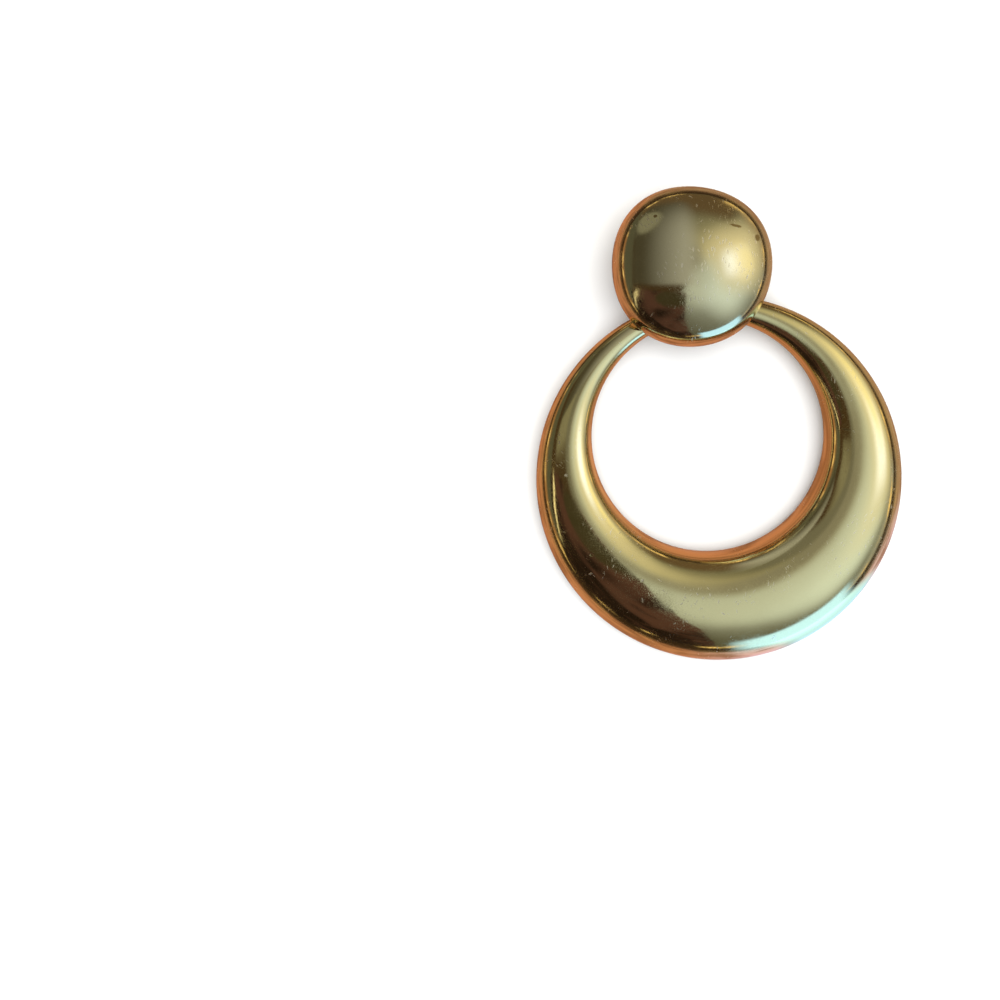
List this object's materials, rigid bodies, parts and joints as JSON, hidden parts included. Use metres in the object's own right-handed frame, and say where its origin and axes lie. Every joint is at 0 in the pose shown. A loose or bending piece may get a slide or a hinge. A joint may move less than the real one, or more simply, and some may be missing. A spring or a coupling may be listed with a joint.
{
  "type": "doorknocker earring",
  "caption": "Clip-on doorknocker earring lying face up: a polished domed button over a crescent hoop, thick below and thin above, held by a loop behind the button.",
  "frame": {"origin": "on the surface that the earring lies on, in the middle of its length and width", "axes": "+X across the earring, +Y along it from the hoop to the button, +Z out of the surface, the way the domed front faces"},
  "size_m": [0.044, 0.0567, 0.0111],
  "materials": {
    "gold_plate": "mirror-polished pale gold plating with fine scratches, a light worn haze and a few small pits",
    "clip_plate": "plain pale gold plating, less polished, on the clip behind the button"
  },
  "bodies": {
    "root": {"button": "gold_plate", "hoop": "gold_plate", "ear_clip": "clip_plate"}
  },
  "joints": []
}
